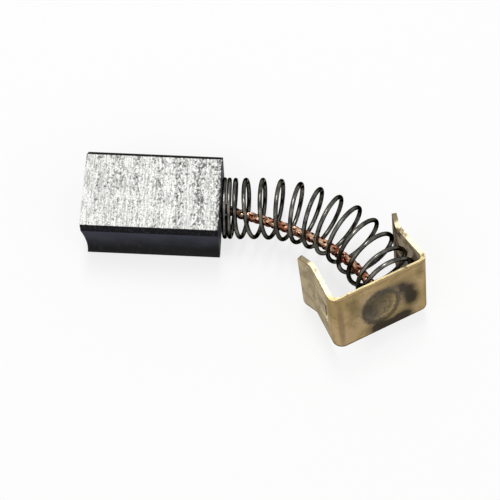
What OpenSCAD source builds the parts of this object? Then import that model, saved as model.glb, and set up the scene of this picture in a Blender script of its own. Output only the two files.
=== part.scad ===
// Carbon brush with a coiled pressure spring, a braided shunt wire and a folded brass end clip.
// The block lies flat, its back face looks along +X, and the spring and the clip curve away
// towards -Y. The origin is the centre of the block's underside.

/* [Carbon block] */
// Length from the worn contact end to the back face
block_l = 12.7; // [9:0.1:18]
// Width across the holder
block_w = 8; // [7:0.1:12]
// Thickness
block_t = 6.3; // [6.2:0.1:10]
// Bevel along the four long edges
block_bevel = 0.45; // [0.2:0.05:1]
// Radius that the commutator has worn into the contact end
contact_r = 17; // [8:0.5:40]

/* [Shunt socket] */
// Diameter of the blind hole in the back face
socket_d = 2.4; // [1.8:0.1:3]
// Depth of the blind hole
socket_depth = 3.6; // [2:0.1:5]
// Depth of the dish that the tamping tool leaves in the packed powder
tamp_dish = 0.3; // [0.1:0.05:0.6]

/* [Spring] */
// Wire diameter
wire_d = 0.42; // [0.3:0.01:0.5]
// Radius of the coils, to the middle of the wire
coil_r = 2.7; // [2.4:0.05:2.8]
// Closed turns on the block
closed_start = 1.1; // [0.8:0.1:2]
// Closed turns on the clip
closed_end = 0.6; // [0.4:0.1:1]
// Turns over which the closed end on the block opens to the full pitch
opening_turns = 2.3; // [1.5:0.1:3]
// Turns over which the pitch closes again at the clip
closing_turns = 1.3; // [1:0.1:2]
// All turns together
turns = 14.05; // [13:0.05:15]
// Pitch of the open turns near the block
pitch_start = 1.45; // [1.2:0.01:1.6]
// Pitch of the open turns near the clip
pitch_end = 1.89; // [1.5:0.01:2]

/* [Bend] */
// Heading that the spring turns through
bend_angle = 60; // [0:0.5:70]
// Distance from the block at which the heading starts to turn
bend_start = 1; // [0:0.1:3]
// Distance along the spring's centre line over which the heading turns
bend_span = 18.7; // [16:0.1:26]
// Angle at which the open turns climb
climb_angle = 11; // [0:0.5:14]
// Angle at which the spring meets the clip
end_climb = 18.5; // [0:0.5:25]

/* [Shunt wire] */
// Diameter of the braid
shunt_d = 0.95; // [0.6:0.05:1.1]
// Half width of the flattened foot
foot_half_w = 0.7; // [0.6:0.05:1]
// Half thickness of the flattened foot
foot_half_t = 0.2; // [0.15:0.01:0.3]

/* [Clip] */
// Length of the base over the sharp corners
clip_l = 9.75; // [9:0.05:12]
// Width of the strip
clip_w = 7; // [6.5:0.1:8]
// Thickness of the brass sheet
sheet_t = 0.42; // [0.3:0.01:0.6]
// Inner radius of the bends
bend_r = 0.5; // [0.3:0.05:0.8]
// Length of each leg from the corner to the flare
leg_l = 4.7; // [4:0.1:6]
// Inward lean of each leg
leg_lean = 4.5; // [0:0.5:8]
// Outward angle of the flared tip
flare_angle = 19; // [10:1:45]
// Length of the flared tip
flare_l = 1.6; // [0.8:0.1:2]
// Radius of the corners at each tip
tip_r = 0.4; // [0.2:0.1:0.8]
// Roll of the clip about the spring's end
clip_roll = 2; // [-6:1:6]
// Distance of the spring's end from the middle of the base, towards the right leg
spring_offset_x = 1.3; // [0:0.05:1.3]
// Distance of the spring's end from the middle of the base, across the strip
spring_offset_y = 1.4; // [0:0.05:1.5]

/* [Windows and weld] */
// Distance of the window from the corner, as a share of the leg
window_start = 0.35; // [0.25:0.01:0.4]
// Far end of the window, as a share of the leg
window_end = 0.82; // [0.75:0.01:0.92]
// Width of the window
window_w = 2.5; // [1.5:0.1:3.5]
// Length of the tongue lanced out of the window
tongue_l = 1.2; // [0.8:0.1:1.5]
// Inward bend of the tongue
tongue_angle = 6; // [3:1:12]
// Distance of the weld mark from the middle of the base, towards the left leg
weld_offset = 0.2; // [0:0.1:1]
// Diameter of the ring that the welding electrode presses into the base
weld_d = 4; // [2:0.1:5]
// Width of the ring
weld_ring_w = 0.4; // [0.2:0.05:0.6]
// Depth of the ring
weld_depth = 0.04; // [0.02:0.01:0.1]

/* [Hidden] */

cut_slack = 0.5;                 // how far a cutting solid runs past a face
fit_gap = 0.005;                 // clearance of the braid in its packed powder
lap = 0.02;                      // how far flat and bent stretches of sheet run into each other
round_fn = 64;

// The spring's centre line: its length, where its climb starts and ends, and its steps
seat_gap = 0.02;
closed_pitch = wire_d + 0.02;
open_turns = turns - closed_start - closed_end;
axis_l = seat_gap * 2 + wire_d + wire_travel(turns);
climb_start = 0.7;
climb_span = 1.8;
end_climb_start = 12;
axis_steps = 160;
axis_step = axis_l / axis_steps;
wire_steps = 24;                 // rings in one turn of the wire
wire_sides = 8;
start_phase = 0.075;             // part of a turn before the wire's first far point

// The shunt's route, one row for each point: distance along the spring's centre line,
// offset to the inside of the bend, and offset upwards
shunt_route = [
    [-3, 0, 0], [-1.5, 0, 0], [0, 0, 0], [1.5, 0.4, -0.2], [4, 1.05, -0.35], [7, 1.6, -0.45],
    [10, 1.75, -0.5], [13, 1.7, -0.45], [15.5, 1.55, -0.35], [17.2, 1.45, -0.4],
    [18.4, 1.3, -0.6], [19.2, 1.15, -1], [19.5, 1, -1.6]
];
route_steps = 6;                 // rings between two points of the route
shunt_sides = 8;
foot_rows = 2.2;                 // rows of the route over which the braid flattens

back_x = block_l / 2;
seat_z = block_t / 2;

// The clip's bends: the angles they turn through and the lengths that they leave flat
leg_turn = 90 + leg_lean;
corner_l = (bend_r + sheet_t) * tan(leg_turn / 2);
flare_turn = leg_lean + flare_angle;
leg_flat = leg_l - corner_l - bend_r * tan(flare_turn / 2);

function ease(x) = let (c = min(max(x, 0), 1)) c * c * (3 - 2 * c);
function ramp(x, w) = x <= 0 ? 0 : x < w ? x * x / (2 * w) : x - w / 2;
function mix(a, b, f) = a + (b - a) * f;

// Distance that the wire has travelled along the centre line after t turns
function wire_travel(t) =
    let (
        open_gain = pitch_start - closed_pitch,
        close_at = turns - closed_end - closing_turns,
        x = max(t - closed_start, 0),
        growth = (pitch_end - pitch_start) / open_turns,
        open_x = min(x, close_at - closed_start),
        end_gain = open_gain + growth * (close_at - closed_start)
    )
    closed_pitch * t
    + open_gain * ramp(t - closed_start, opening_turns)
    + growth * (open_x * open_x / 2 + (x - open_x) * (close_at - closed_start))
    - end_gain * ramp(t - close_at, closing_turns);

// Heading, climb and direction of the centre line at distance s from the block
function heading(s) = bend_angle * ease((s - bend_start) / bend_span);
function climb(s) =
    climb_angle * ease((s - climb_start) / climb_span)
    + (end_climb - climb_angle) * ease((s - end_climb_start) / (axis_l - end_climb_start));
function axis_dir(s) =
    [cos(climb(s)) * cos(heading(s)), -cos(climb(s)) * sin(heading(s)), sin(climb(s))];
function inside_dir(s) = [-sin(heading(s)), -cos(heading(s)), 0];
function up_dir(s) = cross(inside_dir(s), axis_dir(s));

axis_points = [
    for (i = 0, p = [back_x, 0, seat_z]; i <= axis_steps;
         p = p + axis_step * axis_dir((i + 0.5) * axis_step), i = i + 1) p
];

function axis_at(s) =
    s <= 0 ? axis_points[0] + [s, 0, 0]
    : let (k = min(floor(s / axis_step), axis_steps - 1))
      mix(axis_points[k], axis_points[k + 1], s / axis_step - k);

// Centre of the wire after t turns
function wire_at(t) =
    let (s = seat_gap + wire_d / 2 + wire_travel(t), a = 360 * (t + start_phase))
    axis_at(s) + coil_r * (sin(a) * up_dir(s) - cos(a) * inside_dir(s));

// A point of the shunt's route, f rows from its start
function route_row(f) =
    let (
        last = len(shunt_route) - 1,
        k = min(floor(f), last - 1),
        u = f - k,
        p0 = shunt_route[max(k - 1, 0)],
        p1 = shunt_route[k],
        p2 = shunt_route[k + 1],
        p3 = shunt_route[min(k + 2, last)]
    )
    (2 * p1 + (p2 - p0) * u + (2 * p0 - 5 * p1 + 4 * p2 - p3) * u * u
     + (3 * p1 - p0 - 3 * p2 + p3) * u * u * u) / 2;
function shunt_at(f) =
    let (row = route_row(f), s = row[0])
    axis_at(s) + row[1] * inside_dir(s) + row[2] * up_dir(s);

function unit(v) = v / norm(v);

// Solid swept through rings of points that all have the same number of sides
module skin(rings) {
    sides = len(rings[0]);
    last = len(rings) - 1;
    points = [for (ring = rings) each ring];
    walls = [
        for (i = [0 : last - 1], j = [0 : sides - 1])
            let (a = i * sides + j, b = i * sides + (j + 1) % sides)
            each [[a, b + sides, b], [a, a + sides, b + sides]]
    ];
    caps = [
        [for (j = [0 : sides - 1]) j],
        [for (j = [sides - 1 : -1 : 0]) last * sides + j]
    ];
    polyhedron(points, concat(walls, caps));
}

// Places its children on the inner face of the clip's base: X runs towards the right leg,
// Y up across the strip and Z out of the clip
module at_clip() {
    translate(axis_at(axis_l))
        rotate([0, 90 - end_climb, -heading(axis_l)])
            rotate([0, 0, 90 - clip_roll])
                translate([-spring_offset_x, -spring_offset_y, 0])
                    children();
}

module carbon_block() {
    contact_depth = contact_r - sqrt(contact_r * contact_r - block_t * block_t / 4);
    color("dimgray")
        difference() {
            rotate([90, 0, 90])
                translate([0, 0, -back_x])
                    linear_extrude(block_l) block_section();
            translate([-back_x - contact_r + contact_depth, 0, seat_z])
                rotate([90, 0, 0])
                    cylinder(h = block_w + 2 * cut_slack, r = contact_r, center = true, $fn = 180);
            translate([back_x - socket_depth, 0, seat_z])
                rotate([0, 90, 0])
                    cylinder(h = socket_depth + cut_slack, d = socket_d, $fn = round_fn);
        }
}

module block_section() {
    half = block_w / 2;
    bevel = block_bevel;
    polygon([
        [-half + bevel, 0], [half - bevel, 0], [half, bevel], [half, block_t - bevel],
        [half - bevel, block_t], [-half + bevel, block_t], [-half, block_t - bevel], [-half, bevel]
    ]);
}

// Copper-graphite powder packed round the end of the shunt
module tamping_plug() {
    inner = shunt_d / 2 + fit_gap;
    color("#5a4a40")
        translate([back_x - socket_depth, 0, seat_z])
            rotate([0, 90, 0])
                difference() {
                    cylinder(h = socket_depth, d = socket_d, $fn = round_fn);
                    translate([0, 0, socket_depth - 3 - cut_slack])
                        cylinder(h = 3 + 2 * cut_slack, r = inner, $fn = round_fn);
                    translate([0, 0, socket_depth - tamp_dish])
                        cylinder(h = 2 * tamp_dish, r1 = inner, r2 = socket_d, $fn = round_fn);
                }
}

module shunt_wire() {
    rows = len(shunt_route) - 1;
    rings = rows * route_steps;
    delta = 0.02;
    color("peru")
        skin([
            for (i = [0 : rings])
                let (
                    f = i / route_steps,
                    here = shunt_at(f),
                    ahead = unit(shunt_at(min(f + delta, rows)) - shunt_at(max(f - delta, 0))),
                    inward = inside_dir(route_row(f)[0]),
                    thin = unit(cross(ahead, inward)),
                    wide = cross(thin, ahead),
                    flat = ease((f - rows + foot_rows) / foot_rows),
                    half_w = mix(shunt_d / 2, foot_half_w, flat),
                    half_t = mix(shunt_d / 2, foot_half_t, flat)
                )
                [
                    for (j = [0 : shunt_sides - 1])
                        let (a = 360 * j / shunt_sides)
                        here + half_w * cos(a) * wide + half_t * sin(a) * thin
                ]
        ]);
}

module compression_spring() {
    rings = round(turns * wire_steps);
    delta = 0.005;
    color("dimgray")
        skin([
            for (i = [0 : rings])
                let (
                    t = turns * i / rings,
                    here = wire_at(t),
                    ahead = unit(wire_at(t + delta) - wire_at(t - delta)),
                    s = seat_gap + wire_d / 2 + wire_travel(t),
                    outward = unit(here - axis_at(s)),
                    across = unit(cross(ahead, outward)),
                    out = cross(across, ahead)
                )
                [
                    for (j = [0 : wire_sides - 1])
                        let (a = 360 * j / wire_sides)
                        here + wire_d / 2 * (cos(a) * out + sin(a) * across)
                ]
        ]);
}

// Sector of bent sheet: from the Y axis clockwise through the angle, r to its near face
module sheet_bend(r, angle) {
    reach = 2 * (r + sheet_t);
    intersection() {
        difference() {
            circle(r + sheet_t, $fn = round_fn);
            circle(r, $fn = round_fn);
        }
        polygon([
            [0, 0], [0, reach], [reach * sin(angle / 2), reach * cos(angle / 2)],
            [reach * sin(angle), reach * cos(angle)]
        ]);
    }
}

// Places its children at the start of the right leg, with X along the leg and Y out of it
module at_leg() {
    translate([clip_l / 2 - corner_l, -bend_r]) rotate(-leg_turn) children();
}

// Places its children at the start of the right leg's flare, with the inner face on the X axis
module at_flare() {
    at_leg()
        translate([leg_flat, 2 * bend_r + sheet_t])
            rotate(flare_turn)
                translate([0, -bend_r - sheet_t])
                    children();
}

// Half of the clip's section, with the inner face of the base on the X axis
module clip_half_section() {
    translate([-lap, 0]) square([clip_l / 2 - corner_l + 2 * lap, sheet_t]);
    translate([clip_l / 2 - corner_l, -bend_r]) sheet_bend(bend_r, leg_turn);
    at_leg() {
        translate([-lap, bend_r]) square([leg_flat + 2 * lap, sheet_t]);
        translate([leg_flat, 2 * bend_r + sheet_t]) mirror([0, 1]) sheet_bend(bend_r, flare_turn);
    }
    at_flare() translate([-lap, 0]) square([flare_l + lap, sheet_t]);
}

// Section of a tongue: it leaves the far edge of the window and bends inwards
module tongue_section() {
    root_x = window_end * leg_l - corner_l;
    root_run = 0.15;
    at_leg()
        translate([root_x, bend_r]) {
            translate([-root_run - lap, 0]) square([2 * root_run, sheet_t]);
            translate([-root_run, -bend_r]) {
                mirror([1, 0]) sheet_bend(bend_r, tongue_angle);
                rotate(tongue_angle)
                    translate([-tongue_l, bend_r]) square([tongue_l + lap, sheet_t]);
            }
        }
}

// Raises a section drawn in X and Z by the width, centred across the strip
module across_strip(width) {
    rotate([90, 0, 0]) translate([0, 0, -width / 2]) linear_extrude(width) children();
}

module window_cut() {
    across_strip(window_w)
        at_leg()
            translate([window_start * leg_l - corner_l, bend_r - cut_slack])
                square([(window_end - window_start) * leg_l, sheet_t + 2 * cut_slack]);
}

// What the two rounded corners of a tip leave off
module tip_cut() {
    rotate([90, 0, 0])
        at_flare()
            for (side = [0, 1])
                mirror([0, 0, side])
                    translate([flare_l - tip_r, sheet_t + cut_slack, clip_w / 2 - tip_r])
                        rotate([90, 0, 0])
                            linear_extrude(sheet_t + 2 * cut_slack)
                                difference() {
                                    square(tip_r + cut_slack);
                                    circle(tip_r, $fn = round_fn);
                                }
}

// Shallow V-groove round the Z axis, cut down from Z = 0
module weld_ring() {
    middle = (weld_d - weld_ring_w) / 2;
    rotate_extrude($fn = round_fn)
        polygon([
            [middle - weld_ring_w, weld_depth], [middle, -weld_depth],
            [middle + weld_ring_w, weld_depth]
        ]);
}

module terminal_clip() {
    tongue_gap = 0.12;
    color("darkkhaki")
        at_clip() {
            difference() {
                across_strip(clip_w) {
                    clip_half_section();
                    mirror([1, 0]) clip_half_section();
                }
                for (leg = [0, 1])
                    mirror([leg, 0, 0]) {
                        window_cut();
                        tip_cut();
                    }
                translate([-weld_offset, 0, sheet_t]) weld_ring();
            }
            across_strip(window_w - 2 * tongue_gap) {
                tongue_section();
                mirror([1, 0]) tongue_section();
            }
        }
}

carbon_block();
tamping_plug();
shunt_wire();
compression_spring();
terminal_clip();
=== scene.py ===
import math
import random

import bmesh
import bpy
from mathutils import Matrix, Vector
from mathutils.kdtree import KDTree


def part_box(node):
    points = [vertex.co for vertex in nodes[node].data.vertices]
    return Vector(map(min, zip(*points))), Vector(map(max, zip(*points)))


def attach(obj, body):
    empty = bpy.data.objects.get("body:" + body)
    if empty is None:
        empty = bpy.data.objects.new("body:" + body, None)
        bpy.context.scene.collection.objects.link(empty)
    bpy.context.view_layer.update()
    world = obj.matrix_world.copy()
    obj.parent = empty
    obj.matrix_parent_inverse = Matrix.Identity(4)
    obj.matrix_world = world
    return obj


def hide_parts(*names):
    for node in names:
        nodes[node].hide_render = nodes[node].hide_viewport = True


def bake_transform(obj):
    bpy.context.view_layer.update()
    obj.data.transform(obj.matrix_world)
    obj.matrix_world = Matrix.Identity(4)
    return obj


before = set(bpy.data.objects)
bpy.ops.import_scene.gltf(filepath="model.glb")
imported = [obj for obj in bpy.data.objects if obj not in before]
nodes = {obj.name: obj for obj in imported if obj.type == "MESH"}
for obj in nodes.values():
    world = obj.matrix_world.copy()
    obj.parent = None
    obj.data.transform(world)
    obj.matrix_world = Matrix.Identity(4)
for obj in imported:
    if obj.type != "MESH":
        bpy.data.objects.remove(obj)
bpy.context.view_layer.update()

mm = 0.001
blockLow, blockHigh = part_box("carbon_block")
print("frame loaded")


# Small helpers

def colour(red, green, blue):
    # screen values from 0 to 255, turned into the linear values that a shader takes
    def linear(value):
        share = value / 255
        return share / 12.92 if share <= 0.04045 else ((share + 0.055) / 1.055) ** 2.4
    return (linear(red), linear(green), linear(blue), 1)


def ease(share):
    share = min(max(share, 0), 1)
    return share * share * (3 - 2 * share)


def mix(first, second, share):
    return first + (second - first) * share


def startMaterial(name, values):
    # values: what is the same all over the surface, by the names of the shader's sockets
    material = bpy.data.materials.new(name)
    material.use_nodes = True
    tree = material.node_tree
    shader = tree.nodes["Principled BSDF"]
    for socket, value in values.items():
        shader.inputs[socket].default_value = value
    return material, tree, shader


def addNode(tree, kind, **settings):
    node = tree.nodes.new(kind)
    for key, value in settings.items():
        setattr(node, key, value)
    return node


def join(tree, source, socket):
    if isinstance(source, (int, float, tuple)):
        socket.default_value = source
    else:
        tree.links.new(source, socket)


def place(tree, squeeze=(1, 1, 1), origin=(0, 0, 0), turn=(0, 0, 0)):
    # object coordinates in millimetres from an origin, turned into a frame of their own and squeezed
    coords = addNode(tree, "ShaderNodeTexCoord")
    local = addNode(tree, "ShaderNodeMapping", vector_type="TEXTURE")
    local.inputs["Location"].default_value = origin
    local.inputs["Rotation"].default_value = turn
    local.inputs["Scale"].default_value = [mm / share for share in squeeze]
    tree.links.new(coords.outputs["Object"], local.inputs["Vector"])
    return local.outputs["Vector"]


def apart(tree, vector):
    # a vector's X, Y and Z, by name
    node = addNode(tree, "ShaderNodeSeparateXYZ")
    tree.links.new(vector, node.inputs[0])
    return node.outputs


def attribute(tree, name):
    return addNode(tree, "ShaderNodeAttribute", attribute_type="GEOMETRY", attribute_name=name).outputs["Fac"]


def cloud(tree, vector, scale, detail, roughness, distortion=0):
    node = addNode(tree, "ShaderNodeTexNoise")
    tree.links.new(vector, node.inputs["Vector"])
    node.inputs["Scale"].default_value = scale
    node.inputs["Detail"].default_value = detail
    node.inputs["Roughness"].default_value = roughness
    node.inputs["Distortion"].default_value = distortion
    return node.outputs["Fac"]


def squeezedCloud(tree, look, *where):
    return cloud(tree, place(tree, look["squeeze"], *where), *look["noise"])


def calc(tree, operation, first, second=0.0):
    node = addNode(tree, "ShaderNodeMath", operation=operation)
    join(tree, first, node.inputs[0])
    join(tree, second, node.inputs[1])
    return node.outputs[0]


def plus(tree, first, second):
    return calc(tree, "ADD", first, second)


def minus(tree, first, second):
    return calc(tree, "SUBTRACT", first, second)


def times(tree, first, second):
    return calc(tree, "MULTIPLY", first, second)


def step(tree, value, low, high, start=0.0, end=1.0):
    # goes smoothly from start to end while the value goes from low to high
    node = addNode(tree, "ShaderNodeMapRange", interpolation_type="SMOOTHSTEP")
    tree.links.new(value, node.inputs["Value"])
    node.inputs["From Min"].default_value = low
    node.inputs["From Max"].default_value = high
    node.inputs["To Min"].default_value = start
    node.inputs["To Max"].default_value = end
    return node.outputs["Result"]


def stepFrom(tree, value, base, low, high, *ends):
    # a step whose low and high are measured from a base
    return step(tree, value, base + low, base + high, *ends)


def ringAt(tree, value, middle, low, high, strength):
    # strongest where the value is the middle one, and gone on both sides
    return step(tree, calc(tree, "ABSOLUTE", minus(tree, value, middle)), low, high, strength, 0)


def blendColours(tree, share, first, second):
    node = addNode(tree, "ShaderNodeMix", data_type="RGBA", blend_type="MIX")
    tree.links.new(share, node.inputs[0])
    join(tree, first, node.inputs[6])
    join(tree, second, node.inputs[7])
    return node.outputs[2]


def addBump(tree, shader, height, depth):
    node = addNode(tree, "ShaderNodeBump")
    node.inputs["Strength"].default_value = 1
    node.inputs["Distance"].default_value = depth * mm
    tree.links.new(height, node.inputs["Height"])
    tree.links.new(node.outputs["Normal"], shader.inputs["Normal"])


def spotAt(tree, vector, centre, radii, wobble, wobbleSize):
    # 0 at the centre of an oval spot, 1 on its edge
    move = addNode(tree, "ShaderNodeVectorMath", operation="SUBTRACT")
    tree.links.new(vector, move.inputs[0])
    move.inputs[1].default_value = centre
    shrink = addNode(tree, "ShaderNodeVectorMath", operation="DIVIDE")
    tree.links.new(move.outputs[0], shrink.inputs[0])
    shrink.inputs[1].default_value = radii
    size = addNode(tree, "ShaderNodeVectorMath", operation="LENGTH")
    tree.links.new(shrink.outputs[0], size.inputs[0])
    return plus(tree, size.outputs["Value"], times(tree, wobble, wobbleSize))


def granularFinish(name, look):
    # two colours in fine grains that stand out a little
    material, tree, shader = startMaterial(name, look["values"])
    grain = cloud(tree, place(tree), *look["noise"])
    base = blendColours(tree, step(tree, grain, *look["fade"]), look["dark"], look["light"])
    tree.links.new(base, shader.inputs["Base Color"])
    if look["depth"]:
        addBump(tree, shader, grain, look["depth"])
    return material


def newPiece(name, mesh, materials, body, replaced):
    piece = bpy.data.objects.new(name, mesh)
    bpy.context.scene.collection.objects.link(piece)
    for material in materials:
        mesh.materials.append(material)
    if replaced:
        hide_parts(replaced)
    if body:
        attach(piece, body)
    return piece


def cadCopy(node, mergeWithin=0.0005, flatWithin=0.5):
    # a merged copy of a CAD node's mesh, with its flat faces whole again
    shape = bmesh.new()
    shape.from_mesh(nodes[node].data)
    bmesh.ops.remove_doubles(shape, verts=shape.verts, dist=mergeWithin * mm)
    bmesh.ops.dissolve_limit(shape, angle_limit=math.radians(flatWithin),
                             verts=shape.verts, edges=shape.edges)
    return shape


def breakEdges(shape, angle, width):
    sharp = [edge for edge in shape.edges if len(edge.link_faces) == 2
             and edge.calc_face_angle(0) > math.radians(angle)]
    bmesh.ops.bevel(shape, geom=sharp, offset=width * mm, offset_type="OFFSET", segments=2,
                    profile=0.5, affect="EDGES", material=-1, clamp_overlap=True)


def smoothMesh(shape, name, angle=35):
    mesh = bpy.data.meshes.new(name)
    shape.to_mesh(mesh)
    shape.free()
    mesh.shade_smooth()
    mesh.set_sharp_from_angle(angle=math.radians(angle))
    return mesh


def curvePiece(name, runs, radius, roundness, capAngle=50):
    # round wires along lists of points in millimetres, as one mesh; each run is (points, thickness, slot)
    data = bpy.data.curves.new(name, "CURVE")
    data.dimensions = "3D"
    data.bevel_depth = radius * mm
    data.bevel_resolution = roundness
    data.use_fill_caps = True
    data.twist_mode = "MINIMUM"
    for points, thickness, slot in runs:
        run = data.splines.new("POLY")
        run.points.add(len(points) - 1)
        run.material_index = slot
        run.use_smooth = True
        for target, point in zip(run.points, points):
            target.co = (point.x * mm, point.y * mm, point.z * mm, 1)
            target.radius = thickness
    holder = bpy.data.objects.new(name + "Route", data)
    bpy.context.scene.collection.objects.link(holder)
    bpy.context.view_layer.update()
    mesh = bpy.data.meshes.new_from_object(holder.evaluated_get(bpy.context.evaluated_depsgraph_get()))
    bpy.data.objects.remove(holder)
    bpy.data.curves.remove(data)
    mesh.name = name
    mesh.shade_smooth()
    mesh.set_sharp_from_angle(angle=math.radians(capAngle))
    return mesh


# Carbon block
# In every dictionary, lengths are in millimetres and angles in degrees. A noise is its scale, detail,
# roughness and distortion, and a fade its low and high, then its start and end where they aren't 0 and 1.

block = {
    "edgeBreak": 0.06, "breakAngle": 30, "smoothAngle": 30,
    "bevelLow": 0.2, "bevelHigh": 0.97,  # how upright the normal of a bevel is, at least and at most
    # the ground face's bright and grey colours are a painted sheen: the dark carbon drawn as light as its
    # reflection of the lamps
    "bright": colour(255, 255, 251), "sheenGrey": colour(190, 191, 187),
    "speck": colour(104, 105, 102), "deep": colour(58, 58, 58),
    "groundValues": {"Metallic": 0, "Specular IOR Level": 0.2},
    "scratch": {"squeeze": (4.4, 0.4, 1), "noise": (1.4, 5, 0.7), "fade": (0.42, 0.66), "height": 0.35},
    "grain": {"squeeze": (1.2, 0.95, 1), "noise": (6.6, 2, 0.75), "fade": (0.46, 0.72, 0, 0.8)},
    "band": {"spacing": 1.93, "middle": 0.9, "squeeze": (1, 0.35, 1), "noise": (0.8, 2, 0.5), "drift": 2.6,
             "strength": (-6, 6.5, 0.026, 0.062)},
    "pore": {"squeeze": (1.1, 0.8, 1), "noise": (4.4, 3, 0.72),
             "fewerInFront": (-6.3, -4.9, -0.16, 0), "moreBehind": (-2, 6.4, 0, 0.035),
             "moreAtOneSide": (-3.6, 3, -0.02, 0.02),
             "speckFade": (0.53, 0.66, 0, 0.9), "deepFade": (0.67, 0.74), "hollowFade": (0.56, 0.75),
             "roughFade": (0.56, 0.75, 0.42, 0.8), "depth": 0.014},
    # place on the ground face and radius
    "pits": [(-4.35, 0.35, 0.12), (0.55, 2.1, 0.11), (4.7, -0.65, 0.14), (5.5, 2.75, 0.14),
             (5.75, 2.5, 0.11), (5.2, 3.0, 0.1), (-1.5, 1.4, 0.1), (-1.7, 0.3, 0.1), (1.2, -0.9, 0.11),
             (-5.1, 0.4, 0.1), (2.3, -2.8, 0.12), (3.1, 1.9, 0.12)],
    "pitReach": 2, "pitWobble": 2.4, "pitFade": (1.7, 2.6, 0.85, 0),
    # fades measured from the block's side, its back and, with the sign turned, its front
    "rim": {"noise": (3.4, 3, 0.7), "ragged": 0.5, "side": (-0.19, -0.13), "back": (0.12, 0.2),
            "frontRagged": 0.55, "frontWorn": (1.2, 3.6, 0, 0.12), "front": (0.27, 0.33), "share": 0.93},
    # the lower side colour is painted shade, darkening the sides towards the underside
    "sideUpper": colour(62, 63, 74), "sideShadeLower": colour(3, 3, 5), "sideMark": colour(66, 67, 74),
    "sideValues": {"Metallic": 0, "Roughness": 0.5, "Specular IOR Level": 0.015},
    "sideShadeLevel": {"noise": (0.35, 3, 0.6), "drift": 2.6, "fade": (3.2, 7.6)},
    "mark": {"squeeze": (3, 3, 0.4), "noise": (1.2, 4, 0.6), "fade": (0.54, 0.8, 0, 0.4), "height": 0.6},
    "sideGrain": {"noise": (11, 3, 0.7), "fade": (0.56, 0.75, 0, 0.4), "depth": 0.006},
    "bevel": {"values": {"Metallic": 0, "Roughness": 0.75, "Specular IOR Level": 0.015},
              "noise": (5.5, 4, 0.75), "fade": (0.5, 0.72), "depth": 0.04,
              "dark": colour(27, 27, 29), "light": colour(64, 65, 68)},
}


def groundCarbonSheen():
    # ground face painted bright as a painted sheen, the lamps' reflection drawn into its colour: fine
    # scratches across the block, dark pores gathered in bands
    material, tree, shader = startMaterial("groundCarbonSheen", block["groundValues"])
    flat = place(tree)
    axes = apart(tree, flat)
    scratches = squeezedCloud(tree, block["scratch"])
    grain = squeezedCloud(tree, block["grain"])
    scratched = step(tree, scratches, *block["scratch"]["fade"])
    base = blendColours(tree, scratched, block["bright"], block["sheenGrey"])
    base = blendColours(tree, step(tree, grain, *block["grain"]["fade"]), base, block["speck"])

    # pores gather in bands, which grow stronger towards the back
    band = block["band"]
    pore = block["pore"]
    phase = times(tree, minus(tree, axes["X"], band["middle"]), 2 * math.pi / band["spacing"])
    wave = calc(tree, "COSINE", plus(tree, phase, times(tree, squeezedCloud(tree, band), band["drift"])))
    gather = times(tree, wave, step(tree, axes["X"], *band["strength"]))
    gather = plus(tree, gather, step(tree, axes["X"], *pore["fewerInFront"]))
    gather = plus(tree, gather, step(tree, axes["X"], *pore["moreBehind"]))
    gather = plus(tree, gather, step(tree, axes["Y"], *pore["moreAtOneSide"]))
    poreLevel = plus(tree, squeezedCloud(tree, pore), gather)
    base = blendColours(tree, step(tree, poreLevel, *pore["speckFade"]), base, block["speck"])
    base = blendColours(tree, step(tree, poreLevel, *pore["deepFade"]), base, block["deep"])
    for pitX, pitY, radius in block["pits"]:
        pit = spotAt(tree, flat, (pitX, pitY, blockHigh[2] / mm), (radius, radius, block["pitReach"]),
                     grain, block["pitWobble"])
        base = blendColours(tree, step(tree, pit, *block["pitFade"]), base, block["deep"])

    # the saw and the grinding leave a ragged dark rim
    rim = block["rim"]
    backX = blockHigh[0] / mm
    chips = cloud(tree, flat, *rim["noise"])
    sideAt = plus(tree, calc(tree, "ABSOLUTE", axes["Y"]), times(tree, chips, rim["ragged"]))
    backAt = plus(tree, axes["X"], times(tree, chips, rim["ragged"]))
    share = calc(tree, "MAXIMUM", stepFrom(tree, sideAt, blockHigh[1] / mm, *rim["side"]),
                 stepFrom(tree, backAt, backX, *rim["back"]))
    frontAt = minus(tree, times(tree, chips, rim["frontRagged"]), axes["X"])
    frontAt = plus(tree, frontAt, step(tree, axes["Y"], *rim["frontWorn"]))
    share = calc(tree, "MAXIMUM", share, stepFrom(tree, frontAt, backX, *rim["front"]))
    base = blendColours(tree, times(tree, share, rim["share"]), base, block["bevel"]["dark"])
    tree.links.new(base, shader.inputs["Base Color"])
    raised = times(tree, scratches, block["scratch"]["height"])
    addBump(tree, shader, minus(tree, raised, step(tree, poreLevel, *pore["hollowFade"])), pore["depth"])
    tree.links.new(step(tree, poreLevel, *pore["roughFade"]), shader.inputs["Roughness"])
    return material


def sideCarbonShaded():
    # satin dark sides with painted shade that darkens them towards the underside, and faint marks across the
    # height
    material, tree, shader = startMaterial("sideCarbonShaded", block["sideValues"])
    flat = place(tree)
    level = block["sideShadeLevel"]
    mark = block["mark"]
    drift = times(tree, cloud(tree, flat, *level["noise"]), level["drift"])
    height = plus(tree, apart(tree, flat)["Z"], drift)
    base = blendColours(tree, step(tree, height, *level["fade"]), block["sideShadeLower"], block["sideUpper"])
    marks = squeezedCloud(tree, mark)
    base = blendColours(tree, step(tree, marks, *mark["fade"]), base, block["sideMark"])
    grain = cloud(tree, flat, *block["sideGrain"]["noise"])
    base = blendColours(tree, step(tree, grain, *block["sideGrain"]["fade"]), base, block["bevel"]["dark"])
    tree.links.new(base, shader.inputs["Base Color"])
    addBump(tree, shader, plus(tree, grain, times(tree, marks, mark["height"])), block["sideGrain"]["depth"])
    return material


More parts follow.
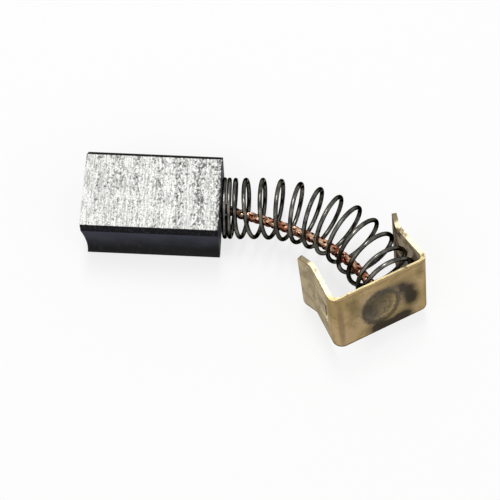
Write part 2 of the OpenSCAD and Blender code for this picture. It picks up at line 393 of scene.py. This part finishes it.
def makeBlock():
    shape = cadCopy("carbon_block")
    for face in shape.faces:
        upright = abs(face.normal.z)
        if upright > block["bevelHigh"]:
            face.material_index = 0
        elif upright > block["bevelLow"] and abs(face.normal.y) > block["bevelLow"]:
            face.material_index = 2
        else:
            face.material_index = 1
    breakEdges(shape, block["breakAngle"], block["edgeBreak"])
    mesh = smoothMesh(shape, "carbonBlock", block["smoothAngle"])
    finishes = [groundCarbonSheen(), sideCarbonShaded(), granularFinish("bevelCarbon", block["bevel"])]
    newPiece("carbonBlock", mesh, finishes, "brush", "carbon_block")


# Powder packed round the shunt's end

powder = {
    "values": {"Metallic": 0.2, "Roughness": 0.65},
    "noise": (11, 4, 0.75), "fade": (0.56, 0.7), "depth": 0.03,
    "dark": colour(58, 44, 38), "light": colour(176, 120, 92),
}


def finishPlug():
    slots = nodes["tamping_plug"].data.materials
    slots.clear()
    slots.append(granularFinish("packedPowder", powder))


# Spring, and its centre line, which the shunt and the clip share

spring = {
    "wire": 0.42, "radius": 2.7, "turns": 14.05, "phase": 0.075, "seatGap": 0.02, "closedGap": 0.02,
    "closedStart": 1.1, "closedEnd": 0.6, "openingTurns": 2.3, "closingTurns": 1.3,
    "pitchStart": 1.45, "pitchEnd": 1.89,
    "pointsPerTurn": 40, "roundness": 5,
    # the centre line leaves the middle of the block's back, turns sideways and climbs
    "startX": blockHigh[0] / mm, "startZ": (blockLow[2] + blockHigh[2]) / 2 / mm,
    "heading": 60.0, "headingStart": 1.0, "headingSpan": 18.7,
    "climb": 11.0, "climbStart": 0.7, "climbSpan": 1.8,
    "endClimb": 18.5, "endClimbStart": 12.0,
    "axisSteps": 160,
    "dark": colour(56, 56, 53), "light": colour(112, 110, 103),
    "values": {"Metallic": 1, "Specular Tint": colour(108, 108, 103)},
    "drift": {"noise": (0.8, 4, 0.6), "fade": (0.35, 0.7)},
    "rough": {"noise": (7, 3, 0.6), "fade": (0.3, 0.7, 0.1, 0.19)},
    "scuff": {"noise": (14, 3, 0.6), "depth": 0.004},
}


def rampUp(x, width):
    # 0 before the ramp, then a slope that grows to 1 over its width
    if x <= 0:
        return 0
    return x * x / (2 * width) if x < width else x - width / 2


def wireTravel(turn):
    # distance along the centre line after a number of turns, with closed ends and a growing pitch
    closed = spring["wire"] + spring["closedGap"]
    openTurns = spring["turns"] - spring["closedStart"] - spring["closedEnd"]
    closeAt = spring["turns"] - spring["closedEnd"] - spring["closingTurns"]
    openGain = spring["pitchStart"] - closed
    growth = (spring["pitchEnd"] - spring["pitchStart"]) / openTurns
    past = max(turn - spring["closedStart"], 0)
    openPart = min(past, closeAt - spring["closedStart"])
    endGain = openGain + growth * (closeAt - spring["closedStart"])
    return (closed * turn
            + openGain * rampUp(turn - spring["closedStart"], spring["openingTurns"])
            + growth * (openPart * openPart / 2 + (past - openPart) * (closeAt - spring["closedStart"]))
            - endGain * rampUp(turn - closeAt, spring["closingTurns"]))


axisLength = 2 * spring["seatGap"] + spring["wire"] + wireTravel(spring["turns"])


def headingAt(s):
    return math.radians(spring["heading"] * ease((s - spring["headingStart"]) / spring["headingSpan"]))


def climbAt(s):
    late = ease((s - spring["endClimbStart"]) / (axisLength - spring["endClimbStart"]))
    return math.radians(spring["climb"] * ease((s - spring["climbStart"]) / spring["climbSpan"])
                        + (spring["endClimb"] - spring["climb"]) * late)


def axisDirection(s):
    heading = headingAt(s)
    climb = climbAt(s)
    level = math.cos(climb)
    return Vector((level * math.cos(heading), -level * math.sin(heading), math.sin(climb)))


def insideDirection(s):
    return Vector((-math.sin(headingAt(s)), -math.cos(headingAt(s)), 0))


def upDirection(s):
    return insideDirection(s).cross(axisDirection(s))


axisStep = axisLength / spring["axisSteps"]
axisPoints = [Vector((spring["startX"], 0, spring["startZ"]))]
for index in range(spring["axisSteps"]):
    axisPoints.append(axisPoints[-1] + axisStep * axisDirection((index + 0.5) * axisStep))


def axisAt(s):
    if s <= 0:
        return axisPoints[0] + Vector((s, 0, 0))
    index = min(int(s / axisStep), spring["axisSteps"] - 1)
    return axisPoints[index].lerp(axisPoints[index + 1], s / axisStep - index)


def springWire():
    # drawn steel, darker in patches, with small scuffs
    material, tree, shader = startMaterial("springWire", spring["values"])
    flat = place(tree)
    drift = cloud(tree, flat, *spring["drift"]["noise"])
    base = blendColours(tree, step(tree, drift, *spring["drift"]["fade"]), spring["dark"], spring["light"])
    tree.links.new(base, shader.inputs["Base Color"])
    rough = cloud(tree, flat, *spring["rough"]["noise"])
    tree.links.new(step(tree, rough, *spring["rough"]["fade"]), shader.inputs["Roughness"])
    addBump(tree, shader, cloud(tree, flat, *spring["scuff"]["noise"]), spring["scuff"]["depth"])
    return material


def makeSpring():
    points = []
    count = round(spring["turns"] * spring["pointsPerTurn"])
    for index in range(count + 1):
        turn = spring["turns"] * index / count
        s = spring["seatGap"] + spring["wire"] / 2 + wireTravel(turn)
        angle = 2 * math.pi * (turn + spring["phase"])
        points.append(axisAt(s) + spring["radius"] * (math.sin(angle) * upDirection(s)
                                                      - math.cos(angle) * insideDirection(s)))
    mesh = curvePiece("coilSpring", [(points, 1, 0)], spring["wire"] / 2, spring["roundness"])
    piece = newPiece("coilSpring", mesh, [springWire()], None, "compression_spring")
    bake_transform(piece)


# Braided shunt

braid = {
    "diameter": 0.95, "carriers": 4, "strands": 4, "strand": 0.112, "lay": 4.4, "weave": 0.05,
    "strandSpacing": 1.02, "strandSpread": 0.78, "roundness": 1,
    "footWidth": 0.7, "footHeight": 0.2, "footRows": 2.2, "footWeave": 0.4,
    "coreInset": 0.06, "coreEnd": 0.55,  # the dark core stops where the braid is this flat
    "step": 0.11, "samplesPerRow": 60, "tangentStep": 0.02,
    "looseLength": 1.6, "looseDrop": 0.4, "fray": 0.22, "cutBack": (0.02, 0.5), "jitter": 0.012, "seed": 7,
    # the route: distance along the centre line, offset to the inside of the bend, offset upwards
    "route": [
        (-3, 0, 0), (-1.5, 0, 0), (0, 0, 0), (1.5, 0.4, -0.2), (4, 1.05, -0.35), (7, 1.6, -0.45),
        (10, 1.75, -0.5), (13, 1.7, -0.45), (15.5, 1.55, -0.35), (17.2, 1.45, -0.4),
        (18.4, 1.3, -0.6), (19.2, 1.15, -1), (19.5, 1, -1.6),
    ],
    "bright": colour(255, 216, 182), "mid": colour(188, 120, 90), "dull": colour(92, 48, 33),
    # deep is painted shade: in the gaps between strands, inside the first closed coils and on the dark core
    "deep": colour(52, 27, 19),
    "values": {"Metallic": 0.9, "Roughness": 0.27, "Specular Tint": colour(140, 78, 56)},
    "drift": {"noise": (1.3, 3, 0.6), "fade": (0.42, 0.6)},
    "stain": {"noise": (1.5, 4, 0.6), "fade": (0.49, 0.6, 0, 0.82), "onUnderside": 0.5},
    "undersideShadeFade": (0.72, 1.2, 0.95, 0),
    # painted shade on the braid inside the first closed coils
    "coilShadeFade": (7.2, 9.6, 0.75, 0),  # along X, inside the first closed coils
    "gapShadeFade": (0.66, 0.84, 0.95, 0),
}
# the dark core is painted shade, seen through the gaps between the strands
braid["core"] = {
    "values": {"Metallic": 0.2, "Roughness": 0.8, "Specular IOR Level": 0.1},
    "noise": (9, 3, 0.6), "fade": (0.5, 0.8), "depth": 0, "dark": braid["deep"], "light": braid["dull"],
}


def copperStrands():
    # bright copper, browner in patches, with painted shade underneath and between the strands, and inside the
    # first closed coils
    material, tree, shader = startMaterial("copperStrands", braid["values"])
    flat = place(tree)
    drift = cloud(tree, flat, *braid["drift"]["noise"])
    base = blendColours(tree, step(tree, drift, *braid["drift"]["fade"]), braid["bright"], braid["mid"])
    stain = cloud(tree, flat, *braid["stain"]["noise"])
    base = blendColours(tree, step(tree, stain, *braid["stain"]["fade"]), base, braid["dull"])
    # painted shade on the braid's underside
    shadeBelow = plus(tree, attribute(tree, "upness"), times(tree, stain, braid["stain"]["onUnderside"]))
    base = blendColours(tree, step(tree, shadeBelow, *braid["undersideShadeFade"]), base, braid["dull"])
    # painted shade where the first closed coils cover the braid
    coilShade = step(tree, apart(tree, flat)["X"], *braid["coilShadeFade"])
    base = blendColours(tree, coilShade, base, braid["deep"])
    # painted shade in the gaps between the strands
    gapShade = step(tree, attribute(tree, "outness"), *braid["gapShadeFade"])
    base = blendColours(tree, gapShade, base, braid["deep"])
    tree.links.new(base, shader.inputs["Base Color"])
    return material


def routeRow(f):
    # a smooth curve through the route's rows
    last = len(braid["route"]) - 1
    k = min(int(f), last - 1)
    u = f - k
    p0, p1, p2, p3 = [Vector(braid["route"][min(max(i, 0), last)]) for i in range(k - 1, k + 3)]
    return (2 * p1 + (p2 - p0) * u + (2 * p0 - 5 * p1 + 4 * p2 - p3) * u * u
            + (3 * p1 - p0 - 3 * p2 + p3) * u * u * u) / 2


def shuntAt(f):
    s, inward, up = routeRow(f)
    return axisAt(s) + inward * insideDirection(s) + up * upDirection(s)


def markOutness(mesh, stations):
    # how far each point stands out from the braid's middle, 1 on its outside, and how far it is on top; the
    # copper's painted shade between and under the strands reads both
    finder = KDTree(len(stations))
    for index, station in enumerate(stations):
        finder.insert(station[1], index)
    finder.balance()
    outness = [0.0] * len(mesh.vertices)
    upness = [0.0] * len(mesh.vertices)
    for vertex in mesh.vertices:
        point = vertex.co / mm
        distance, here, thin, wide, flat = stations[finder.find(point)[1]]
        across = (point - here).dot(wide) / mix(braid["diameter"] / 2, braid["footWidth"], flat)
        upwards = (point - here).dot(thin) / mix(braid["diameter"] / 2, braid["footHeight"], flat)
        outness[vertex.index] = math.hypot(across, upwards)
        upness[vertex.index] = -upwards
    for name, values in (("outness", outness), ("upness", upness)):
        mesh.attributes.new(name, "FLOAT", "POINT").data.foreach_set("value", values)


def shuntStations():
    # distance, place, thin and wide directions and flatness, at even steps along the route
    rows = len(braid["route"]) - 1
    samples = braid["samplesPerRow"]
    ahead = braid["tangentStep"]
    stations = []
    travelled = 0
    previous = shuntAt(0)
    for index in range(rows * samples + 1):
        f = index / samples
        here = shuntAt(f)
        travelled += (here - previous).length
        previous = here
        if not stations or travelled - stations[-1][0] >= braid["step"] or index == rows * samples:
            along = (shuntAt(min(f + ahead, rows)) - shuntAt(max(f - ahead, 0))).normalized()
            thin = along.cross(insideDirection(routeRow(f)[0])).normalized()
            wide = thin.cross(along)
            flat = ease((f - rows + braid["footRows"]) / braid["footRows"])
            stations.append((travelled, here, thin, wide, flat))
    return stations


def makeShunt():
    stations = shuntStations()
    total = stations[-1][0]
    lie = braid["diameter"] / 2 - braid["weave"] - braid["strand"] / 2
    footWide = braid["footWidth"] - braid["strand"] / 2
    footThin = braid["footHeight"] - braid["strand"] / 2
    chance = random.Random(braid["seed"])
    runs = []
    for way in (1, -1):
        for carrier in range(braid["carriers"]):
            for strand in range(braid["strands"]):
                side = (strand - (braid["strands"] - 1) / 2) * braid["strand"] * braid["strandSpacing"]
                length = total - chance.uniform(*braid["cutBack"])
                spread = chance.uniform(-1, 1) * braid["fray"]
                lift = chance.uniform(0, 1) * braid["fray"]
                jitter = chance.uniform(-braid["jitter"], braid["jitter"])
                points = []
                for distance, here, thin, wide, flat in stations:
                    if distance > length:
                        break
                    turn = distance / braid["lay"]
                    angle = way * 2 * math.pi * turn + 2 * math.pi * carrier / braid["carriers"]
                    angle += side * braid["strandSpread"] / lie
                    over = way * math.cos(2 * math.pi * braid["carriers"] * turn)
                    reach = lie + braid["weave"] * over + jitter
                    halfWide = mix(reach, footWide + braid["footWeave"] * braid["weave"] * over, flat)
                    halfThin = mix(reach, footThin + braid["footWeave"] * braid["weave"] * over, flat)
                    loose = ease((distance - total + braid["looseLength"]) / braid["looseLength"])
                    flatter = 1 - braid["looseDrop"] * loose * lift
                    points.append(here + wide * (halfWide * math.cos(angle) + spread * loose)
                                  + thin * (halfThin * math.sin(angle)) * flatter)
                runs.append((points, 1, 0))
    # a dark core of painted shade inside the strands
    core = [here for distance, here, thin, wide, flat in stations if flat < braid["coreEnd"]]
    runs.append((core, (lie - braid["coreInset"]) / (braid["strand"] / 2), 1))
    mesh = curvePiece("copperBraid", runs, braid["strand"] / 2, braid["roundness"])
    markOutness(mesh, stations)
    finishes = [copperStrands(), granularFinish("shadeCore", braid["core"])]
    piece = newPiece("copperBraid", mesh, finishes, None, "shunt_wire")
    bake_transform(piece)
    print("shunt length", round(total, 2), "mm")


# Brass clip
# Its own frame has X to the right leg, Y up across the strip and Z out of the base

clip = {
    "offsetX": 1.3, "offsetY": 1.4, "roll": 2, "sheet": 0.42, "width": 7,
    "edgeBreak": 0.035, "breakAngle": 38, "smoothAngle": 40,
    "insideAt": -2.4,  # a point between the legs, on Z
    "cutShare": 0.8,  # how far across the strip the normal of a cut edge points, at least
    "tan": colour(172, 147, 107), "olive": colour(147, 126, 83), "plum": colour(108, 88, 64),
    # the inner colour is painted shade inside the fold
    "pale": colour(178, 168, 142), "inner": colour(128, 116, 96), "soot": colour(58, 45, 32),
    "smudge": colour(28, 23, 17), "rollover": colour(138, 114, 66),
    "faceValues": {"Metallic": 0.35, "Specular IOR Level": 0.2},
    "drift": {"noise": (0.32, 4, 0.6, 0.4), "fade": (0.4, 0.62)},
    "mottle": {"noise": (1.5, 4, 0.65), "fade": (0.5, 0.75, 0, 0.6), "roughFade": (0.3, 0.7, 0.3, 0.46)},
    "legs": {"fade": (-1.6, -0.5, 1, 0), "pale": 0.6, "soot": 0.32},
    # a streak of painted shade beside the bend
    "bendShade": {"centre": (-4.15, -0.4, 0.2), "radii": (0.42, 4.5, 1.2), "wobble": 0.3,
                   "fade": (0.55, 1.1, 0.55, 0)},
    "outerFade": (0.4, 0.7),  # shares of the sheet's thickness
    "border": {"ragged": 0.3, "fade": (-0.12, 0.02, 0, 0.85), "topFade": (-0.5, 0.5)},
    "weld": {"x": -0.2, "radii": (1.95, 2.35, 1.95), "wobble": 0.4, "fade": (1.0, 1.3, 0.88, 0),
             "swirl": (2.2, 3, 0.6, 1.2), "swirlHeight": 0.5, "sink": -0.8,
             "lean": 0.6, "leanSwirl": 3.4, "leanFade": (0.6, 3.2),
             "patches": {"noise": (2.4, 4, 0.7, 1.0), "fade": (0.46, 0.6, 0, 0.8)},
             # rings: where, low, high and strength
             "crescent": (0.86, 0.03, 0.16, 0.8), "crescentFade": (1.6, 3.0),
             "groove": (0.75, 0.03, 0.12, 0.4), "halo": (1.12, 0.03, 0.18, 0.6),
             "dark": colour(86, 74, 44), "mid": colour(130, 110, 66), "rim": colour(158, 132, 74)},
    # dark heat marks on the base: place, radii, strength
    "smudges": [((1.9, 1.5, 0.4), (0.9, 0.9, 1), 0.8), ((2.6, 0.2, 0.4), (1.0, 1.4, 1), 1.1),
                ((3.0, -1.1, 0.4), (0.75, 1.0, 1), 0.95), ((-0.5, -2.9, 0.4), (1.2, 1.0, 1), 1.3),
                ((0.9, -3.2, 0.4), (1.2, 0.8, 1), 1.2), ((2.1, -3.0, 0.4), (1.1, 1.0, 1), 1.3),
                ((-1.35, 0.1, 0.4), (0.9, 1.4, 1), 0.6), ((0.4, 1.95, 0.4), (1.4, 0.5, 1), 0.6),
                ((-2.9, 1.9, 0.4), (0.6, 1.6, 1), 0.3), ((3.9, 2.6, 0.4), (0.5, 1.2, 1), 0.4)],
    "smudgeWobble": 0.8, "smudgeFade": (0.35, 1.9), "smudgeMost": 0.93,
    # painted shade inside the fold, with soot clouds there
    "inside": {"tone": 0.8, "soot": 0.6},
    "sootCloud": {"noise": (0.8, 4, 0.6, 0.6), "fade": (0.47, 0.6)},
    "drawn": {"squeeze": (0.35, 5, 5), "noise": (1.8, 3, 0.6), "height": 0.4},
    "depth": 0.02,
    "cut": {"values": {"Metallic": 0.3, "Roughness": 0.4}, "bright": colour(250, 240, 200),
            "warm": colour(108, 86, 50), "base": colour(206, 184, 122), "tip": colour(98, 84, 56),
            "noise": (1.3, 4, 0.65), "baseFade": (-0.9, -0.1, 0, 0.8), "warmFade": (0.5, 0.68),
            "shearRagged": 0.25, "shearFade": (0.24, 0.34, 0, 0.9),
            "tipRagged": 1.2, "tipFade": (-4.35, -3.9, 0.92, 0),
            "torn": {"squeeze": (2, 2, 6), "noise": (3, 3, 0.6)}, "depth": 0.02},
}
clipTurn = (Matrix.Rotation(-headingAt(axisLength), 3, "Z")
            @ Matrix.Rotation(math.radians(90 - spring["endClimb"]), 3, "Y")
            @ Matrix.Rotation(math.radians(90 - clip["roll"]), 3, "Z"))
clipOrigin = (axisAt(axisLength) + clipTurn @ Vector((-clip["offsetX"], -clip["offsetY"], 0))) * mm
clipPlace = (tuple(clipOrigin), tuple(clipTurn.to_euler("XYZ")))


def weldColour(tree, local, axes, swirl, weld):
    # the welded spot: darker on its left, with patches, a warm crescent and a groove
    look = clip["weld"]
    lean = plus(tree, minus(tree, axes["X"], times(tree, axes["Y"], look["lean"])),
                times(tree, swirl, look["leanSwirl"]))
    base = blendColours(tree, step(tree, lean, *look["leanFade"]), look["dark"], look["mid"])
    patches = cloud(tree, local, *look["patches"]["noise"])
    base = blendColours(tree, step(tree, patches, *look["patches"]["fade"]), base, clip["smudge"])
    crescent = times(tree, step(tree, lean, *look["crescentFade"]), ringAt(tree, weld, *look["crescent"]))
    base = blendColours(tree, crescent, base, look["rim"])
    return blendColours(tree, ringAt(tree, weld, *look["groove"]), base, clip["smudge"])


def tarnishedBrass():
    # sheet faces: tan with olive and plum clouds, a welded spot, dark heat smudges on the base, and painted
    # shade beside the bend and inside the fold
    material, tree, shader = startMaterial("tarnishedBrass", clip["faceValues"])
    local = place(tree, (1, 1, 1), *clipPlace)
    axes = apart(tree, local)
    mottle = cloud(tree, local, *clip["mottle"]["noise"])
    drift = cloud(tree, local, *clip["drift"]["noise"])
    base = blendColours(tree, step(tree, drift, *clip["drift"]["fade"]), clip["tan"], clip["olive"])
    base = blendColours(tree, step(tree, mottle, *clip["mottle"]["fade"]), base, clip["plum"])

    # paler legs, a plum streak of painted shade beside the bend and a border along the base's edges
    onLegs = step(tree, axes["Z"], *clip["legs"]["fade"])
    base = blendColours(tree, times(tree, onLegs, clip["legs"]["pale"]), base, clip["pale"])
    streak = clip["bendShade"]
    bendShade = spotAt(tree, local, streak["centre"], streak["radii"], mottle, streak["wobble"])
    base = blendColours(tree, step(tree, bendShade, *streak["fade"]), base, clip["plum"])
    border = clip["border"]
    edgeAt = plus(tree, calc(tree, "ABSOLUTE", axes["Y"]), times(tree, mottle, border["ragged"]))
    topSide = step(tree, axes["Y"], *border["topFade"])
    edgeColour = blendColours(tree, topSide, clip["plum"], clip["rollover"])
    base = blendColours(tree, stepFrom(tree, edgeAt, clip["width"] / 2, *border["fade"]), base, edgeColour)

    # the welded spot on the base's outer face
    look = clip["weld"]
    outer = step(tree, axes["Z"], *[clip["sheet"] * share for share in clip["outerFade"]])
    swirl = cloud(tree, local, *look["swirl"])
    weld = spotAt(tree, local, (look["x"], 0, clip["sheet"]), look["radii"], swirl, look["wobble"])
    onWeld = times(tree, step(tree, weld, *look["fade"]), outer)
    base = blendColours(tree, onWeld, base, weldColour(tree, local, axes, swirl, weld))
    halo = times(tree, ringAt(tree, weld, *look["halo"]), outer)
    base = blendColours(tree, halo, base, clip["smudge"])

    # heat marks run into each other
    total = 0.0
    for centre, radii, strength in clip["smudges"]:
        spot = spotAt(tree, local, centre, radii, mottle, clip["smudgeWobble"])
        total = plus(tree, total, step(tree, spot, *clip["smudgeFade"], strength, 0))
    share = times(tree, calc(tree, "MINIMUM", total, clip["smudgeMost"]), outer)
    base = blendColours(tree, share, base, clip["smudge"])

    # painted shade makes the inside of the fold greyer; soot clouds darken it more there, as soot and painted
    # shade, and soot lies on the legs too
    inner = attribute(tree, "inner")
    base = blendColours(tree, times(tree, inner, clip["inside"]["tone"]), base, clip["inner"])
    soot = step(tree, cloud(tree, local, *clip["sootCloud"]["noise"]), *clip["sootCloud"]["fade"])
    sootShare = plus(tree, times(tree, inner, clip["inside"]["soot"]),
                     times(tree, onLegs, clip["legs"]["soot"]))
    base = blendColours(tree, times(tree, soot, sootShare), base, clip["soot"])
    tree.links.new(base, shader.inputs["Base Color"])
    tree.links.new(step(tree, mottle, *clip["mottle"]["roughFade"]), shader.inputs["Roughness"])
    drawn = times(tree, squeezedCloud(tree, clip["drawn"], *clipPlace), clip["drawn"]["height"])
    height = plus(tree, drawn, times(tree, swirl, look["swirlHeight"]))
    addBump(tree, shader, plus(tree, height, times(tree, onWeld, look["sink"])), clip["depth"])
    return material


def cutBrass():
    # bright sheared edges of the sheet
    cut = clip["cut"]
    material, tree, shader = startMaterial("cutBrass", cut["values"])
    local = place(tree, (1, 1, 1), *clipPlace)
    height = apart(tree, local)["Z"]
    drift = cloud(tree, local, *cut["noise"])
    base = blendColours(tree, step(tree, height, *cut["baseFade"]), cut["bright"], cut["base"])
    base = blendColours(tree, step(tree, drift, *cut["warmFade"]), base, cut["warm"])
    # sheared half next to the base's outer face, and the tips
    sheared = plus(tree, height, times(tree, drift, cut["shearRagged"]))
    base = blendColours(tree, step(tree, sheared, *cut["shearFade"]), base, cut["warm"])
    tip = plus(tree, height, times(tree, drift, cut["tipRagged"]))
    base = blendColours(tree, step(tree, tip, *cut["tipFade"]), base, cut["tip"])
    tree.links.new(base, shader.inputs["Base Color"])
    addBump(tree, shader, squeezedCloud(tree, cut["torn"], *clipPlace), cut["depth"])
    return material


def makeClip():
    shape = cadCopy("terminal_clip")
    across = clipTurn @ Vector((0, 1, 0))
    middle = clipOrigin + clipTurn @ Vector((0, 0, clip["insideAt"] * mm))
    inner = shape.faces.layers.float.new("inner")
    for face in shape.faces:
        face.material_index = 1 if abs(face.normal.dot(across)) > clip["cutShare"] else 0
        face[inner] = 1 if face.normal.dot(face.calc_center_median() - middle) < 0 else 0
    breakEdges(shape, clip["breakAngle"], clip["edgeBreak"])
    mesh = smoothMesh(shape, "brassClip", clip["smoothAngle"])
    newPiece("brassClip", mesh, [tarnishedBrass(), cutBrass()], "clip", "terminal_clip")


makeBlock()
finishPlug()
print("block and plug done")
makeSpring()
print("spring done")
makeShunt()
makeClip()
print("clip done")


# Floor, light and camera

studio = {
    "floorSize": 4.0, "floorGlow": 0.75, "worldLight": 0.47,
    "floorValues": {"Base Color": colour(244, 244, 244), "Roughness": 0.9, "Specular IOR Level": 0.1},
    "lamps": [
        # name, place, width and depth in millimetres, watts
        ("key", (0, 62, 215), 42, 110, 0.16),
        ("strip", (0, 60, 208), 13, 70, 0.052),
        ("front", (-70, -90, 180), 110, 110, 0.07),
        ("side", (130, -60, 120), 100, 100, 0.03),
    ],
    "aim": (8, -4, 3),
    "camera": (12.31, -46.47, 114.30), "target": (9.24, -4.05, 3.0), "roll": 1.36,
    "lens": 92.13, "sensor": 36, "nearest": 5, "farthest": 10000,
}


def seenDirectly(tree):
    # 1 where the camera, a reflection or a clear material sees the surface
    path = addNode(tree, "ShaderNodeLightPath")
    seen = calc(tree, "MAXIMUM", path.outputs["Is Camera Ray"], path.outputs["Is Glossy Ray"])
    return calc(tree, "MAXIMUM", seen, path.outputs["Is Transmission Ray"])


def floorPaper():
    material, tree, shader = startMaterial("floorPaper", studio["floorValues"])
    glow = addNode(tree, "ShaderNodeEmission")
    both = addNode(tree, "ShaderNodeMixShader")
    # the shader's part of the mix keeps the shadow
    tree.links.new(times(tree, seenDirectly(tree), studio["floorGlow"]), both.inputs[0])
    tree.links.new(shader.outputs[0], both.inputs[1])
    tree.links.new(glow.outputs[0], both.inputs[2])
    tree.links.new(both.outputs[0], tree.nodes["Material Output"].inputs["Surface"])
    return material


def makeFloor():
    shape = bmesh.new()
    bmesh.ops.create_grid(shape, x_segments=1, y_segments=1, size=studio["floorSize"] / 2)
    floor = newPiece("floor", smoothMesh(shape, "floor"), [floorPaper()], None, None)


def makeWorld():
    world = bpy.data.worlds.new("studioWorld")
    bpy.context.scene.world = world
    world.use_nodes = True
    tree = world.node_tree
    back = tree.nodes["Background"]
    back.inputs["Color"].default_value = (1, 1, 1, 1)
    strength = addNode(tree, "ShaderNodeMapRange")
    tree.links.new(seenDirectly(tree), strength.inputs["Value"])
    strength.inputs["To Min"].default_value = studio["worldLight"]
    strength.inputs["To Max"].default_value = 1
    tree.links.new(strength.outputs["Result"], back.inputs["Strength"])


def makeLamps():
    aim = Vector(studio["aim"]) * mm
    for name, spot, width, depth, watts in studio["lamps"]:
        data = bpy.data.lights.new(name, "AREA")
        data.shape = "RECTANGLE"
        data.size = width * mm
        data.size_y = depth * mm
        data.energy = watts
        lamp = bpy.data.objects.new(name, data)
        lamp.location = Vector(spot) * mm
        lamp.rotation_euler = (aim - lamp.location).to_track_quat("-Z", "Y").to_euler()
        bpy.context.scene.collection.objects.link(lamp)


def makeCamera():
    data = bpy.data.cameras.new("camera")
    data.lens = studio["lens"]
    data.sensor_width = studio["sensor"]
    data.clip_start = studio["nearest"] * mm
    data.clip_end = studio["farthest"] * mm
    camera = bpy.data.objects.new("camera", data)
    spot = Vector(studio["camera"]) * mm
    look = (Vector(studio["target"]) * mm - spot).normalized()
    turn = look.to_track_quat("-Z", "Y").to_matrix() @ Matrix.Rotation(math.radians(-studio["roll"]), 3, "Z")
    camera.location = spot
    camera.rotation_euler = turn.to_euler()
    bpy.context.scene.collection.objects.link(camera)
    bpy.context.scene.camera = camera


makeFloor()
makeWorld()
makeLamps()
makeCamera()
bpy.context.scene.view_settings.view_transform = "Standard"
print("floor, light and camera done")
